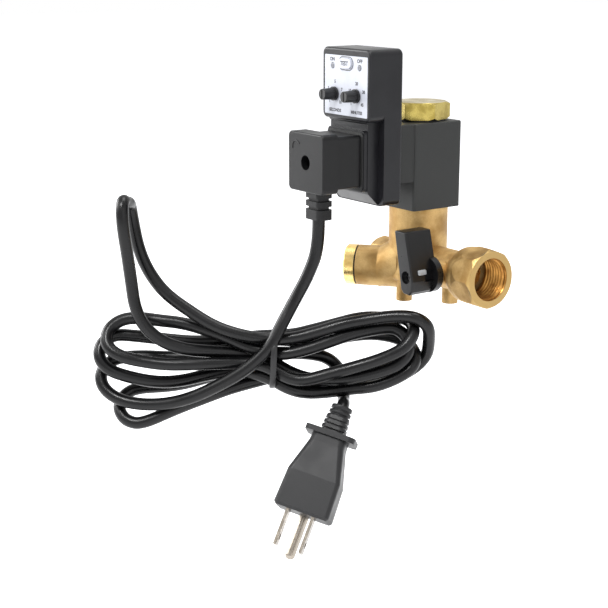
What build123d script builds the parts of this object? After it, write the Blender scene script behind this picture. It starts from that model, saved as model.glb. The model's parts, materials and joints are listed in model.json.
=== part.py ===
from build123d import *
import math
import os

os.makedirs("parts", exist_ok=True)

# Automatic drain valve: a timer-driven solenoid valve with a built-in shut-off ball
# valve and strainer.  Millimetres, +Z up.  The origin is the centre of the inlet
# face, and the inlet faces +X.  Y is positive behind the valve, so the timer, its
# cord connector and the lever are all on the -Y side.

# ---- driving dimensions ------------------------------------------------------------
fit = 0.05               # clearance of pieces that seat in each other
loose = 0.3              # clearance of pieces that pass each other freely

# brass body
inlet_reach = 54.0       # column axis to inlet face
ball_reach = 27.0        # ball axis to inlet face
column_r = 14.65
column_top = 28.6
column_foot = -9.2
neck_r = 9.8             # run between the column and the inlet port
barrel_r = 13.6          # round part behind the inlet octagon
band_across = 27.4       # octagon of the inlet, across its flats
band_length = 14.5
neck_end = 24.0          # inlet face to where the neck starts to flare
inlet_bore_r = 10.4
inlet_depth = 15.5
outlet_reach = 28.6      # column axis to outlet face
outlet_z = -2.6
outlet_across = 20.4
outlet_band = 9.5
outlet_bore_r = 6.6
outlet_depth = 9.0
boss_r = 4.0             # two mounting bosses under the body
boss_bottom = -18.6
boss_hole_r = 1.65
boss_hole_depth = 6.0

# strainer leg
leg_angle = 38.0         # from the run, towards the front
leg_z = -4.0
leg_r = 10.3
leg_end = 30.2           # column axis to the machined end of the leg
leg_chamber_r = 6.2
leg_chamber_start = 19.0
cap_length = 5.5
cap_socket = 8.0
seal_thick = 0.8
screen_r = 5.2
screen_wall = 0.4

# ball valve and lever
ball_r = 7.0
ball_bore_r = 3.5
seat_reach = 8.0         # ball axis to the back of each seat ring
chamber_r = 7.6
retainer_bore_r = 4.5
passage_r = 3.0
stem_r = 3.0
stem_square = 4.2
stem_boss_r = 6.6
stem_boss_face = 13.4    # run axis to the face of the stem boss
lever_lean = 13.0        # from upright, towards the column
lever_hub_r = 8.8
lever_hub_thick = 3.4
lever_front = 30.0       # run axis to the front edge of the lever
lever_top = 21.7
lever_wide = 7.8
lever_screw_r = 1.5
lever_recess_r = 3.1

# solenoid
coil_wide = 29.2
coil_back = 14.6         # column axis to the back of the coil
coil_front = 15.2        # column axis to the front of the coil
coil_height = 42.4
block_wide = 27.0        # terminal block of the coil
block_front = 25.7
block_drop = 28.0        # height of the block, down from the top of the coil
plunger_r = 5.0
plunger_gap = 2.5        # lift between the plunger and the fixed core
plunger_length = 34.0
tube_wall = 0.92
orifice_r = 1.75
seat_z = 15.0
tube_socket_r = 9.0      # hole in the column top that takes the core tube
tube_socket_floor = 19.0
core_bottom = 52.0
spring_wire_r = 0.35
spring_r = 2.0
winding_r = 12.4
nut_r = 14.5             # coil nut, over its corners
nut_turn = -11.6
nut_height = 8.4
stud_r = 4.0

# timer
timer_wide = 37.1
timer_bottom = 33.7
timer_top = 107.4
gasket_thick = 0.6
shell_depth = 8.25       # rear shell
flange_depth = 3.0       # part of the cover beside the seam
box_depth = 8.7          # upper box of the cover, in front of that flange
box_height = 33.6
tower_wide = 29.0        # lower block of the cover that carries the connector
tower_depth = 6.5
rim_depth = 2.0
case_wall = 2.0
case_corner = 3.0
label_wide = 33.0
label_high = 28.0
label_thick = 0.4
label_z = 89.9
knob_spread = 16.8       # between the knob axes
knob_z = 85.7
knob_r = 2.8
knob_flange_r = 3.3
knob_length = 7.4
shaft_r = 1.5
led_spread = 20.8
led_z = 98.8
led_r = 1.45
button_wide = 9.6
button_high = 4.8
button_z = 100.3
button_travel = 0.8
board_thick = 1.6

# cord connector on the timer
plug_size = 28.0         # standard form A face
plug_z = 55.4
plug_deep = 23.0
plug_front_band = 8.6
plug_inset = 1.6
plug_corner = 2.4
screw_recess_r = 3.5
screw_recess_deep = 12.0
screw_r = 1.5
relief_wide = 12.2
relief_thick = 8.8
relief_length = 13.4

# cord and mains plug
cord_r = 3.1
hank_turn = 54.4         # direction in which the hank is spread, from +X towards +Y
hank_thick = 26.0
tie_wide = 3.6
tie_thick = 1.2
mains_tilt = 23.0        # sideways lean of the mains plug, from straight down
mains_lean = 26.0        # its lean towards the front
mains_turn = 18.0        # its turn about its own axis
mains_relief_length = 8.2
mains_length = 41.2      # collar to face
mains_wide = 27.6
mains_thick = 20.0
mains_neck = 17.2        # narrow part below the collar
mains_neck_thick = 14.8
collar_wide = 25.0
collar_thick = 2.6
blade_length = 18.0
blade_offset = 4.8       # blades to the middle of the plug, towards its broad face
blade_wide = 6.3
blade_thick = 1.5
blade_pitch = 12.7
pin_r = 2.4
pin_length = 21.4
pin_offset = 11.9

# ---- places worked out from them -----------------------------------------------------
column_x = -inlet_reach
ball_x = -ball_reach
coil_bottom = column_top
coil_top = coil_bottom + coil_height
shell_back = -(block_front + gasket_thick)
seam = shell_back - shell_depth
flange_front = seam - flange_depth
box_front = flange_front - box_depth
tower_front = flange_front - tower_depth
rim_front = tower_front - rim_depth
plug_back = rim_front - gasket_thick
plug_face = plug_back - plug_deep
timer_height = timer_top - timer_bottom
timer_mid_z = (timer_top + timer_bottom) / 2
box_bottom = timer_top - box_height
relief_y = plug_face + plug_front_band - 0.8
leg_start = Plane(
    origin=(column_x, 0, leg_z),
    x_dir=(math.sin(math.radians(leg_angle)), -math.cos(math.radians(leg_angle)), 0),
    z_dir=(-math.cos(math.radians(leg_angle)), -math.sin(math.radians(leg_angle)), 0),
)


def front_plane(y, x=column_x, z=0.0):
    """Plane facing the front (-Y) at depth y: its x runs along +X, its y up."""
    return Plane(origin=(x, y, z), x_dir=(1, 0, 0), z_dir=(0, -1, 0))


def along_run(x, z=0.0):
    """Plane facing +X at x: its x runs along +Y, its y up."""
    return Plane(origin=(x, 0, z), x_dir=(0, 1, 0), z_dir=(1, 0, 0))


def write(part, name):
    """Label a finished piece and write it to its own STEP file."""
    part.label = name
    export_step(part, f"parts/{name}.step")


# ---- brass body ------------------------------------------------------------------------
def port_band(face_x, across, length, z, outward):
    """Octagonal wrench band of a port, turned down to a cone at its face and heel."""
    corner_r = across / 2 / math.cos(math.pi / 8)
    with BuildPart() as band:
        with BuildSketch(along_run(face_x, z)):
            RegularPolygon(radius=corner_r, side_count=8)
        extrude(amount=-outward * length)
        with BuildSketch(Plane.XZ):
            with BuildLine():
                Polyline(
                    (face_x, z),
                    (face_x, z + across / 2),
                    (face_x - outward * 2.2, z + corner_r + 0.1),
                    (face_x - outward * length * 0.55, z + corner_r + 0.1),
                    (face_x - outward * length, z + across / 2 - 0.2),
                    (face_x - outward * length, z),
                    close=True,
                )
            make_face()
        revolve(axis=Axis((0, 0, z), (1, 0, 0)), mode=Mode.INTERSECT)
    return band.part


with BuildPart() as valve_body:
    # column under the coil, with its rounded foot
    with BuildSketch(Plane.XY.offset(column_foot)):
        with Locations((column_x, 0)):
            Circle(column_r)
    extrude(amount=column_top - column_foot)
    fillet(valve_body.edges().sort_by(Axis.Z)[0], radius=3.0)
    # run from the column to the inlet, flaring into the barrel
    flare_end = band_length
    with BuildSketch(Plane.XZ):
        with BuildLine():
            Polyline((-flare_end, barrel_r), (-flare_end + 2, barrel_r), (-flare_end + 2, 0),
                     (column_x, 0), (column_x, neck_r), (-neck_end, neck_r))
            Spline((-neck_end, neck_r), (-flare_end, barrel_r), tangents=[(1, 0), (1, 0)])
        make_face()
    revolve(axis=Axis.X)
    # strainer leg with the conical web that joins it to the column
    with BuildSketch(leg_start):
        Circle(leg_r)
    extrude(amount=leg_end)
    with BuildSketch(leg_start.offset(8.0)):
        with Locations((0, 4.8)):
            Circle(12.9)
    with BuildSketch(leg_start.offset(leg_chamber_start)):
        Circle(leg_r + 0.25)
    loft(ruled=True)
    # outlet, in line with the run
    with BuildSketch(along_run(column_x - outlet_reach + 2, outlet_z)):
        Circle(outlet_across / 2)
    extrude(amount=outlet_reach - 4)
    # boss that carries the lever stem
    with BuildSketch(front_plane(0, ball_x)):
        Circle(stem_boss_r)
    extrude(amount=stem_boss_face)
    # mounting bosses
    boss_places = [(column_x + 1.7, -9.7), (column_x + 19.3, 5.2)]
    with BuildSketch(Plane.XY.offset(boss_bottom)):
        with Locations(*boss_places):
            Circle(boss_r)
    extrude(amount=-boss_bottom)
    add(port_band(0, band_across, band_length, 0, 1))
    add(port_band(column_x - outlet_reach, outlet_across, outlet_band, outlet_z, -1))

    # inlet bore, ball chamber and the passage to the strainer
    with BuildSketch(along_run(0)):
        Circle(inlet_bore_r)
    extrude(amount=-inlet_depth, mode=Mode.SUBTRACT)
    with BuildSketch(along_run(-inlet_depth)):
        Circle(chamber_r)
    extrude(amount=-(ball_reach - inlet_depth + seat_reach), mode=Mode.SUBTRACT)
    with BuildSketch(along_run(ball_x - seat_reach, -1)):
        Circle(passage_r)
    extrude(amount=-(inlet_reach - ball_reach - seat_reach), mode=Mode.SUBTRACT)
    # stem bore
    with BuildSketch(front_plane(0, ball_x)):
        Circle(stem_r + fit)
    extrude(amount=stem_boss_face, mode=Mode.SUBTRACT)
    # strainer chamber and the passage into it
    with BuildSketch(leg_start.offset(leg_chamber_start)):
        Circle(leg_chamber_r)
    extrude(amount=leg_end - leg_chamber_start, mode=Mode.SUBTRACT)
    with BuildSketch(leg_start):
        Circle(passage_r)
    extrude(amount=leg_chamber_start, mode=Mode.SUBTRACT)
    # socket for the core tube, and the seat that stands in its floor
    with BuildSketch(Plane.XY.offset(column_top)):
        with Locations((column_x, 0)):
            Circle(tube_socket_r)
    extrude(amount=-(column_top - tube_socket_floor), mode=Mode.SUBTRACT)
    with BuildSketch(Plane.XY.offset(tube_socket_floor)):
        with Locations((column_x, 0)):
            Circle(tube_socket_r - 1.5)
    extrude(amount=-(tube_socket_floor - seat_z + 2.4), mode=Mode.SUBTRACT)
    with BuildSketch(Plane.XY.offset(seat_z - 2.4)):
        with Locations((column_x, 0)):
            Circle(4.4)
    extrude(amount=2.4, taper=25)
    # orifice, and the drain passage from it to the outlet
    with BuildSketch(Plane.XY.offset(seat_z)):
        with Locations((column_x, 0)):
            Circle(orifice_r)
    extrude(amount=-(seat_z - 6.0), mode=Mode.SUBTRACT)
    outlet_floor = column_x - outlet_reach + outlet_depth
    drain = Vector(outlet_floor - 1, 0, outlet_z + 1) - Vector(column_x, 0, 7.0)
    with BuildSketch(Plane(origin=(column_x, 0, 7.0), z_dir=drain)):
        Circle(orifice_r)
    extrude(amount=drain.length, mode=Mode.SUBTRACT)
    with BuildSketch(along_run(column_x - outlet_reach, outlet_z)):
        Circle(outlet_bore_r)
    extrude(amount=outlet_depth, mode=Mode.SUBTRACT)
    # feed passage from the strainer up to the chamber round the seat
    feed_from = leg_start.from_local_coords(Vector(0, 3.6, leg_chamber_start + 2.5))
    feed = Vector(column_x - 5.2, 0, seat_z - 1.2) - feed_from
    with BuildSketch(Plane(origin=feed_from, z_dir=feed)):
        Circle(1.3)
    extrude(amount=feed.length, mode=Mode.SUBTRACT)
    # threaded holes of the mounting bosses
    with BuildSketch(Plane.XY.offset(boss_bottom)):
        with Locations(*boss_places):
            Circle(boss_hole_r)
    extrude(amount=boss_hole_depth, mode=Mode.SUBTRACT)
write(valve_body.part, "valve_body")

# ---- ball valve --------------------------------------------------------------------------
lean = math.radians(lever_lean)
bore_axis = Vector(-math.sin(lean), 0, math.cos(lean))
tongue_deep = 2.4
tongue_wide = 2.0
tongue_long = 5.0
stem_foot = ball_r - tongue_deep
lever_back = stem_boss_face + 0.4
square_end = lever_back + 7.0


def turned_front(y):
    """Plane facing the front at depth y on the ball axis, turned with the lever."""
    return Plane(origin=(ball_x, -y, 0), x_dir=(math.cos(lean), 0, math.sin(lean)), z_dir=(0, -1, 0))


with BuildPart(Plane(origin=(ball_x, 0, 0), z_dir=bore_axis)) as ball:
    Sphere(ball_r)
    Cylinder(ball_bore_r, 2 * ball_r + 1, mode=Mode.SUBTRACT)
    with BuildSketch(turned_front(stem_foot)):
        Rectangle(2 * ball_r, tongue_wide + 2 * fit + 0.1)
    extrude(amount=tongue_deep + 1, mode=Mode.SUBTRACT)
write(ball.part, "ball")

seat_dish = ball_r + 0.1
seat_front = 4.6
with BuildPart() as ball_seats:
    # a ring on each side, dished to the ball
    for side in (-1, 1):
        rim = (ball_x + side * seat_front, math.sqrt(seat_dish**2 - seat_front**2))
        throat = (ball_x + side * math.sqrt(seat_dish**2 - ball_bore_r**2), ball_bore_r)
        with BuildSketch(Plane.XZ):
            with BuildLine():
                RadiusArc(throat, rim, -side * seat_dish)
                Polyline(rim, (rim[0], chamber_r - 0.1), (ball_x + side * seat_reach, chamber_r - 0.1),
                         (ball_x + side * seat_reach, ball_bore_r), throat)
            make_face()
        revolve(axis=Axis.X)
write(ball_seats.part, "ball_seats")

with BuildPart() as ball_retainer:
    # threaded ring behind the inlet thread, with a hexagon for the assembly key
    retainer_back = ball_x + seat_reach
    with BuildSketch(along_run(retainer_back)):
        Circle(chamber_r - fit)
        RegularPolygon(radius=retainer_bore_r, side_count=6, mode=Mode.SUBTRACT)
    extrude(amount=-inlet_depth - retainer_back)
write(ball_retainer.part, "ball_retainer")

with BuildPart() as lever_stem:
    with BuildSketch(front_plane(-stem_foot, ball_x)):
        Circle(stem_r)
    extrude(amount=lever_back - stem_foot)
    with BuildSketch(turned_front(lever_back)):
        Rectangle(stem_square, stem_square)
    extrude(amount=square_end - lever_back)
    # tongue that drives the ball: the foot is cut away on both sides of it
    with BuildSketch(turned_front(stem_foot)):
        with Locations((0, tongue_wide / 2 + stem_r), (0, -tongue_wide / 2 - stem_r)):
            Rectangle(4 * stem_r, 2 * stem_r)
    extrude(amount=tongue_deep + 0.4, mode=Mode.SUBTRACT)
    # groove of the stem seal
    seal_groove = 10.6
    with BuildSketch(front_plane(-seal_groove, ball_x)):
        Circle(stem_r + 1)
        Circle(stem_r - 0.8, mode=Mode.SUBTRACT)
    extrude(amount=1.6, mode=Mode.SUBTRACT)
    with BuildSketch(front_plane(-square_end, ball_x)):
        Circle(lever_screw_r + fit)
    extrude(amount=-5.0, mode=Mode.SUBTRACT)
write(lever_stem.part, "lever_stem")

with BuildPart() as stem_seal:
    with BuildSketch(front_plane(-seal_groove - 0.1, ball_x)):
        Circle(stem_r - 0.05)
        Circle(stem_r - 0.75, mode=Mode.SUBTRACT)
    extrude(amount=1.4)
write(stem_seal.part, "stem_seal")

with BuildPart() as lever_handle:
    # hub disc against the stem boss
    with BuildSketch(front_plane(-lever_back, ball_x)):
        Circle(lever_hub_r)
    extrude(amount=lever_hub_thick)
    # arm: leans with the ball, cut level at the top, rounded at the bottom
    top_x = -lever_top * math.tan(lean)
    with BuildSketch(front_plane(-lever_back - 0.6, ball_x)) as arm:
        with BuildLine():
            Polyline((top_x - lever_wide / 2 - 0.3, lever_top), (top_x + lever_wide / 2, lever_top),
                     (4.9, -1.5), (4.4, -6.6), (2.6, -8.4), (-1.8, -8.0), (-3.6, -6.2), close=True)
        make_face()
        fillet(arm.vertices().sort_by(Axis.Z)[:4], radius=0.9)
    extrude(amount=lever_front - lever_back - 0.6)
    fillet(lever_handle.faces().sort_by(Axis.Y)[0].edges(), radius=0.7)
    # square for the stem, screw hole and its recess
    with BuildSketch(turned_front(lever_back)):
        Rectangle(stem_square + 0.1, stem_square + 0.1)
    extrude(amount=square_end - lever_back + fit, mode=Mode.SUBTRACT)
    with BuildSketch(front_plane(-lever_back, ball_x)):
        Circle(lever_screw_r + 0.15)
    extrude(amount=lever_front - lever_back, mode=Mode.SUBTRACT)
    with BuildSketch(front_plane(-lever_front, ball_x)):
        Circle(lever_recess_r)
    extrude(amount=-5.6, mode=Mode.SUBTRACT)
    # moulding pocket on the side that faces the inlet
    with BuildSketch(Plane.YZ.offset(ball_x + 6.0)):
        with Locations((-lever_back - 5.4, 0.4)):
            Rectangle(5.2, 5.6)
    extrude(amount=-2.8, mode=Mode.SUBTRACT)
write(lever_handle.part, "lever_handle")

with BuildPart() as lever_screw:
    head_y = lever_front - 5.6
    with BuildSketch(front_plane(-head_y, ball_x)):
        Circle(lever_recess_r - 0.3)
    extrude(amount=2.0)
    with BuildSketch(front_plane(-head_y, ball_x)):
        Circle(lever_screw_r)
    extrude(amount=-(head_y - square_end + 4.6))
    with BuildSketch(front_plane(-head_y - 2.0, ball_x)):
        with PolarLocations(0, 2):
            Rectangle(3.4, 0.7)
            Rectangle(0.7, 3.4)
    extrude(amount=-1.1, mode=Mode.SUBTRACT)
write(lever_screw.part, "lever_screw")

# ---- strainer ----------------------------------------------------------------------------
cap_start = leg_end + seal_thick
with BuildPart() as strainer_cap:
    with BuildSketch(leg_start.offset(cap_start)):
        Circle(leg_r)
    extrude(amount=cap_length)
    leg_axis = Axis(leg_start.origin, leg_start.z_dir)
    chamfer(strainer_cap.faces().sort_by(leg_axis)[-1].edges(), 0.7)
    with BuildSketch(leg_start.offset(cap_start)):
        Circle(leg_chamber_r - fit)
    extrude(amount=-6.0)
    with BuildSketch(leg_start.offset(cap_start - 6.0)):
        Circle(screen_r + fit)
    extrude(amount=5.0, mode=Mode.SUBTRACT)
    with BuildSketch(leg_start.offset(cap_start + cap_length)):
        RegularPolygon(radius=cap_socket / 2, side_count=6, major_radius=False)
    extrude(amount=-4.0, mode=Mode.SUBTRACT)
write(strainer_cap.part, "strainer_cap")

with BuildPart() as cap_seal:
    with BuildSketch(leg_start.offset(leg_end)):
        Circle(leg_r - 0.5)
        Circle(leg_chamber_r + fit, mode=Mode.SUBTRACT)
    extrude(amount=seal_thick)
write(cap_seal.part, "cap_seal")

with BuildPart() as strainer_screen:
    with BuildSketch(leg_start.offset(leg_chamber_start)):
        Circle(screen_r)
        Circle(screen_r - screen_wall, mode=Mode.SUBTRACT)
    extrude(amount=cap_start - 1.0 - leg_chamber_start - fit)
write(strainer_screen.part, "strainer_screen")

# ---- solenoid ------------------------------------------------------------------------------
tube_r = plunger_r + 0.08 + tube_wall
flange_z = tube_socket_floor + 1.0
flange_top = flange_z + 3.0
plunger_foot = core_bottom - plunger_gap - plunger_length
spring_bore_r = spring_r + spring_wire_r + 0.25
spring_floor = core_bottom - 12.0


def on_column(z):
    """Horizontal plane at height z, centred on the column axis."""
    return Plane.XY.move(Location((column_x, 0, z)))


with BuildPart() as tube_gasket:
    with BuildSketch(on_column(tube_socket_floor)):
        Circle(tube_socket_r - 0.1)
        Circle(tube_socket_r - 1.4, mode=Mode.SUBTRACT)
    extrude(amount=flange_z - tube_socket_floor)
write(tube_gasket.part, "tube_gasket")

with BuildPart() as core_tube:
    with BuildSketch(on_column(flange_z)):
        Circle(tube_socket_r - fit)
    extrude(amount=flange_top - flange_z)
    with BuildSketch(on_column(flange_z)):
        Circle(tube_r)
    extrude(amount=core_bottom + 10 - flange_z)
    with BuildSketch(on_column(flange_z)):
        Circle(plunger_r + 0.08)
    extrude(amount=core_bottom + 10 - flange_z, mode=Mode.SUBTRACT)
write(core_tube.part, "core_tube")

with BuildPart() as bonnet_nut:
    # clamps the flange of the core tube, with notches for a pin spanner
    with BuildSketch(on_column(flange_top)):
        Circle(tube_socket_r - fit)
        Circle(tube_r + 0.1, mode=Mode.SUBTRACT)
    extrude(amount=column_top - flange_top)
    with BuildSketch(on_column(column_top)):
        with PolarLocations(tube_socket_r - 1.1, 4):
            Rectangle(1.4, 1.8)
    extrude(amount=-2.0, mode=Mode.SUBTRACT)
write(bonnet_nut.part, "bonnet_nut")

with BuildPart() as fixed_core:
    with BuildSketch(on_column(core_bottom)):
        Circle(plunger_r + 0.04)
    extrude(amount=10)
    with BuildSketch(on_column(core_bottom + 10)):
        Circle(tube_r)
    extrude(amount=coil_top - core_bottom - 10)
    with BuildSketch(on_column(coil_top)):
        Circle(stud_r)
    extrude(amount=nut_height - 1.6)
    chamfer(fixed_core.edges().sort_by(Axis.Z)[-1], 0.6)
write(fixed_core.part, "fixed_core")

with BuildPart() as plunger:
    with BuildSketch(on_column(plunger_foot)):
        Circle(plunger_r)
    extrude(amount=plunger_length)
    chamfer(plunger.edges().sort_by(Axis.Z)[0], 0.8)
    with BuildSketch(on_column(plunger_foot)):
        Circle(3.5)
    extrude(amount=1.6, mode=Mode.SUBTRACT)
    with BuildSketch(on_column(plunger_foot + plunger_length)):
        Circle(spring_bore_r)
    extrude(amount=spring_floor - plunger_foot - plunger_length, mode=Mode.SUBTRACT)
    # grooves that let the medium past
    with BuildSketch(on_column(plunger_foot)):
        with PolarLocations(plunger_r, 2):
            Rectangle(1.2, 1.6)
    extrude(amount=plunger_length, mode=Mode.SUBTRACT)
write(plunger.part, "plunger")

with BuildPart() as plunger_seal:
    with BuildSketch(on_column(seat_z + 0.2)):
        Circle(3.45)
    extrude(amount=plunger_foot + 1.6 - seat_z - 0.2)
write(plunger_seal.part, "plunger_seal")

spring_turns = 6
with BuildPart() as plunger_spring:
    spring_height = core_bottom - spring_floor - 2 * spring_wire_r - 0.1
    with BuildLine() as coil_line:
        Helix(pitch=spring_height / spring_turns, height=spring_height, radius=spring_r,
              center=(column_x, 0, spring_floor + spring_wire_r + 0.05))
    with BuildSketch(Plane(origin=coil_line.line @ 0, z_dir=coil_line.line % 0)):
        Circle(spring_wire_r)
    sweep(path=coil_line.line)
write(plunger_spring.part, "plunger_spring")

block_z = coil_top - block_drop / 2
with BuildPart() as coil:
    with BuildSketch(on_column(coil_bottom)):
        with Locations((0, (coil_back - coil_front) / 2)):
            RectangleRounded(coil_wide, coil_back + coil_front, 1.6)
    extrude(amount=coil_height)
    with BuildSketch(on_column(coil_top - block_drop)):
        with BuildLine():
            Polyline((coil_wide / 2 - 0.2, -coil_front + 2.6), (block_wide / 2, -coil_front - 0.4),
                     (block_wide / 2, -block_front), (-block_wide / 2, -block_front),
                     (-block_wide / 2, -coil_front - 0.4), (-coil_wide / 2 + 0.2, -coil_front + 2.6),
                     close=True)
        make_face()
    extrude(amount=block_drop)
    chamfer(coil.faces().sort_by(Axis.Z)[-1].edges().filter_by(GeomType.LINE), 0.5)
    with BuildSketch(on_column(coil_bottom)):
        Circle(tube_r + 0.1)
    extrude(amount=coil_height, mode=Mode.SUBTRACT)
    # space of the winding
    with BuildSketch(on_column(coil_bottom + 4.0)):
        Circle(winding_r + 0.2)
        Circle(tube_r + 1.1, mode=Mode.SUBTRACT)
    extrude(amount=coil_height - 8.0, mode=Mode.SUBTRACT)
    # hole for the long fixing screw
    with BuildSketch(front_plane(-block_front, z=plug_z)):
        Circle(screw_r + fit)
    extrude(amount=-7.0, mode=Mode.SUBTRACT)
write(coil.part, "coil")

with BuildPart() as coil_winding:
    with BuildSketch(on_column(coil_bottom + 4.2)):
        Circle(winding_r)
        Circle(tube_r + 1.3, mode=Mode.SUBTRACT)
    extrude(amount=coil_height - 8.4)
write(coil_winding.part, "coil_winding")

washer_thick = 0.8
with BuildPart() as nut_washer:
    with BuildSketch(on_column(coil_top)):
        Circle(nut_r - 2.4)
        Circle(stud_r + 0.3, mode=Mode.SUBTRACT)
    extrude(amount=washer_thick)
write(nut_washer.part, "nut_washer")

nut_bottom = coil_top + washer_thick
with BuildPart() as coil_nut:
    with BuildSketch(on_column(nut_bottom)):
        RegularPolygon(radius=nut_r, side_count=6, rotation=nut_turn)
    extrude(amount=nut_height)
    # both ends are turned to a 30 degree cone
    with BuildSketch(Plane.XZ):
        turned_r = nut_r - 1.9
        slope = 1.1
        with BuildLine():
            Polyline((column_x, nut_bottom), (column_x + turned_r + 0.6, nut_bottom),
                     (column_x + nut_r + 0.1, nut_bottom + slope),
                     (column_x + nut_r + 0.1, nut_bottom + nut_height - slope),
                     (column_x + turned_r, nut_bottom + nut_height),
                     (column_x, nut_bottom + nut_height), close=True)
        make_face()
    revolve(axis=Axis((column_x, 0, 0), (0, 0, 1)), mode=Mode.INTERSECT)
    with BuildSketch(on_column(nut_bottom)):
        Circle(stud_r + fit)
    extrude(amount=nut_height - 1.6, mode=Mode.SUBTRACT)
write(coil_nut.part, "coil_nut")

# ---- flat plugs of the form A pattern ------------------------------------------------------
pin_places = [(-9.0, 0.0), (9.0, 0.0), (0.0, -9.0)]


def pin_sketch(extra=0.0):
    """Three flat pins on a square face: two across, one below at right angles."""
    for x, y in pin_places:
        wide, high = (0.8, 6.3) if y == 0.0 else (6.3, 0.8)
        with Locations((x, y)):
            Rectangle(wide + 2 * extra, high + 2 * extra)


coil_pin_length = 7.6
with BuildPart() as coil_pins:
    with BuildSketch(front_plane(-block_front, z=block_z)):
        pin_sketch()
    extrude(amount=coil_pin_length)
write(coil_pins.part, "coil_pins")

with BuildPart() as coil_gasket:
    with BuildSketch(front_plane(-block_front, z=block_z)):
        RectangleRounded(block_wide - 0.6, block_drop - 0.8, 1.5)
        RectangleRounded(block_wide - 4.6, block_drop - 4.8, 1.0, mode=Mode.SUBTRACT)
    extrude(amount=gasket_thick)
write(coil_gasket.part, "coil_gasket")

# ---- timer case ------------------------------------------------------------------------------
box_z = timer_top - box_height / 2
tower_z0 = timer_bottom + 0.6
rim_z = plug_z
with BuildPart() as timer_back:
    with BuildSketch(front_plane(shell_back, z=timer_mid_z)):
        RectangleRounded(timer_wide, timer_height, case_corner)
    extrude(amount=shell_depth)
    fillet(timer_back.faces().sort_by(Axis.Y)[-1].edges(), radius=1.6)
    with BuildSketch(front_plane(shell_back - case_wall, z=timer_mid_z)):
        RectangleRounded(timer_wide - 2 * case_wall, timer_height - 2 * case_wall, case_corner - 1.2)
    extrude(amount=shell_depth, mode=Mode.SUBTRACT)
    # window for the coil pins, and the hole of the long screw
    with BuildSketch(front_plane(shell_back, z=block_z)):
        pin_sketch(0.3)
    extrude(amount=case_wall, mode=Mode.SUBTRACT)
    with BuildSketch(front_plane(shell_back, z=plug_z)):
        Circle(screw_r + loose)
    extrude(amount=case_wall, mode=Mode.SUBTRACT)
write(timer_back.part, "timer_back")

board_back = seam - 1.2
with BuildPart() as timer_cover:
    # upper box with the dial face
    with BuildSketch(front_plane(flange_front + 1, z=box_z)):
        RectangleRounded(timer_wide, box_height, case_corner)
    extrude(amount=box_depth + 1)
    fillet(timer_cover.faces().sort_by(Axis.Y)[0].edges(), radius=1.2)
    # flange along the seam, over the full height
    with BuildSketch(front_plane(seam, z=timer_mid_z)):
        RectangleRounded(timer_wide, timer_height, case_corner)
    extrude(amount=flange_depth)
    # tower that carries the connector: its foot slopes back to the flange
    with BuildSketch(Plane.YZ.offset(column_x - tower_wide / 2)):
        with BuildLine():
            Polyline((flange_front + 1, tower_z0), (flange_front - 0.4, tower_z0),
                     (tower_front + 0.6, tower_z0 + 5.4), (tower_front, tower_z0 + 6.6),
                     (tower_front, box_bottom - 1.0))
            RadiusArc((tower_front, box_bottom - 1.0), (tower_front - 1.0, box_bottom), 1.0)
            Polyline((tower_front - 1.0, box_bottom), (tower_front - 1.0, box_bottom + 1),
                     (flange_front + 1, box_bottom + 1), (flange_front + 1, tower_z0))
        make_face()
    extrude(amount=tower_wide)
    # rim that the connector is screwed to
    with BuildSketch(front_plane(tower_front, z=rim_z)):
        RectangleRounded(tower_wide - 0.6, tower_wide, 2.0)
    extrude(amount=rim_depth)
    # hollow of the box, of the tower, and the recess of the dial plate
    with BuildSketch(front_plane(seam, z=box_z)):
        RectangleRounded(timer_wide - 2 * case_wall, box_height - 2 * case_wall, case_corner - 1.2)
    extrude(amount=flange_depth + box_depth - case_wall, mode=Mode.SUBTRACT)
    with BuildSketch(front_plane(seam, z=(box_bottom + timer_bottom + 8.0) / 2)):
        Rectangle(tower_wide - 2 * case_wall, box_bottom - timer_bottom - 8.0 + 4.2)
    extrude(amount=flange_depth + tower_depth - case_wall, mode=Mode.SUBTRACT)
    with BuildSketch(front_plane(box_front, z=label_z)):
        RectangleRounded(label_wide + 0.1, label_high + 0.1, 0.6)
    extrude(amount=-label_thick, mode=Mode.SUBTRACT)
    # holes for the knob shafts, the lamps, the button and the pins
    knob_places = [(-knob_spread / 2, knob_z), (knob_spread / 2, knob_z)]
    led_places = [(-led_spread / 2, led_z), (led_spread / 2, led_z)]
    with BuildSketch(front_plane(box_front)):
        with Locations(*knob_places):
            Circle(shaft_r + loose)
        with Locations(*led_places):
            Circle(led_r + fit)
        with Locations((0, button_z)):
            SlotOverall(button_wide + 0.2, button_high + 0.2)
    extrude(amount=-box_depth, mode=Mode.SUBTRACT)
    with BuildSketch(front_plane(rim_front, z=plug_z)):
        pin_sketch(0.15)
        Circle(screw_r + loose)
    extrude(amount=-(rim_depth + case_wall + 1), mode=Mode.SUBTRACT)
write(timer_cover.part, "timer_cover")

with BuildPart() as circuit_board:
    board_face = board_back - board_thick
    with BuildSketch(front_plane(board_back)):
        with Locations((0, box_z)):
            RectangleRounded(timer_wide - 2 * case_wall - 2 * loose,
                             box_height - 2 * case_wall - 2 * loose, case_corner - 1.2)
        with Locations((0, (timer_bottom + 10 + box_bottom + 3) / 2)):
            Rectangle(tower_wide - 2 * case_wall - 2 * loose, box_bottom + 3 - timer_bottom - 10)
        with Locations((0, plug_z)):
            Circle(screw_r + 0.8, mode=Mode.SUBTRACT)
    extrude(amount=board_thick)
write(circuit_board.part, "circuit_board")

with BuildPart() as timer_pins:
    # through the rim into the connector, soldered to the board at the back
    pin_tip = plug_back - 8.0
    with BuildSketch(front_plane(board_face, z=plug_z)):
        pin_sketch()
    extrude(amount=board_face - pin_tip)
write(timer_pins.part, "timer_pins")

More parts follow.
